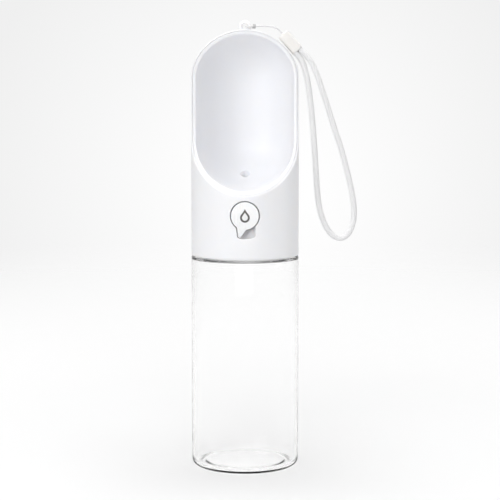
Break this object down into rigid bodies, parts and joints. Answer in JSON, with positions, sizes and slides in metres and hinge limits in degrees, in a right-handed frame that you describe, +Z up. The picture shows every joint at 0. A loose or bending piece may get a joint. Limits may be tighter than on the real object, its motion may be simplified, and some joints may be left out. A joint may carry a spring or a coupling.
{
  "type": "dog travel water bottle",
  "caption": "Clear cylindrical bottle that screws into a head with a scoop-shaped drinking bowl, a lockable push valve and a wrist lanyard.",
  "frame": {"origin": "centre of the bottle's base, on the table that it stands on", "axes": "+Z up the bottle's axis, -Y out of the bowl and the button, +X to the right seen from the front, where the lanyard hangs"},
  "size_m": [0.0989, 0.0644, 0.2655],
  "materials": {
    "clear_bottle": "clear, polished",
    "white_shell": "fine satin moulding",
    "bowl_white": "smooth semi-gloss, faintly cool white",
    "button_white": "smooth semi-gloss",
    "mark_grey": "matt dark grey inlay",
    "inner_white": "plain moulding",
    "silicone": "translucent matt silicone",
    "seal_rubber": "black nitrile",
    "steel": "plain stainless",
    "cord_white": "woven white cord",
    "sleeve_cream": "soft matt, warm white"
  },
  "bodies": {
    "bottle": {"bottle": "clear_bottle"},
    "seal": {"neck_seal": "silicone"},
    "head": {"head_shell": "white_shell", "drinking_bowl": "bowl_white", "threaded_collar": "inner_white", "inlet_gasket": "silicone", "valve_housing": "inner_white", "housing_screws": "steel", "outlet_gasket": "silicone", "rear_plug": "inner_white", "rear_plug_seal": "seal_rubber", "valve_spring": "steel"},
    "plunger": {"valve_plunger": "inner_white", "plunger_seals": "seal_rubber", "poppet_seal": "silicone", "poppet_holder": "inner_white", "poppet_screw": "steel"},
    "button": {"button": "button_white", "drop_mark": "mark_grey"},
    "lanyard": {"lanyard_string": "cord_white", "lanyard_sleeve": "sleeve_cream", "lanyard_loop": "cord_white"}
  },
  "joints": [
    {"name": "head_rise", "type": "slide", "parent": "bottle", "child": "seal", "axis": [0, 0, 1], "range_m": [0, 0.008]},
    {"name": "head_turn", "type": "hinge", "parent": "seal", "child": "head", "pos_m": [0, 0, 0.1354], "axis": [0, 0, 1], "range_deg": [0, 720]},
    {"name": "button_press", "type": "slide", "parent": "head", "child": "plunger", "axis": [0, 1, 0], "range_m": [0, 0.0025], "stiffness_N_per_m": 400, "springref_m": -0.006, "deforming": ["valve_spring"]},
    {"name": "lock_turn", "type": "hinge", "parent": "plunger", "child": "button", "pos_m": [0, -0.029, 0.1523], "axis": [0, -1, 0], "range_deg": [0, 38]},
    {"name": "lanyard_swing", "type": "hinge", "parent": "head", "child": "lanyard", "pos_m": [0, 0.004, 0.2617], "axis": [0, -1, 0], "range_deg": [0, 100]}
  ],
  "couplings": [
    {"joint": "head_rise", "follows": "head_turn", "m_per_rad": 0.00063662}
  ]
}
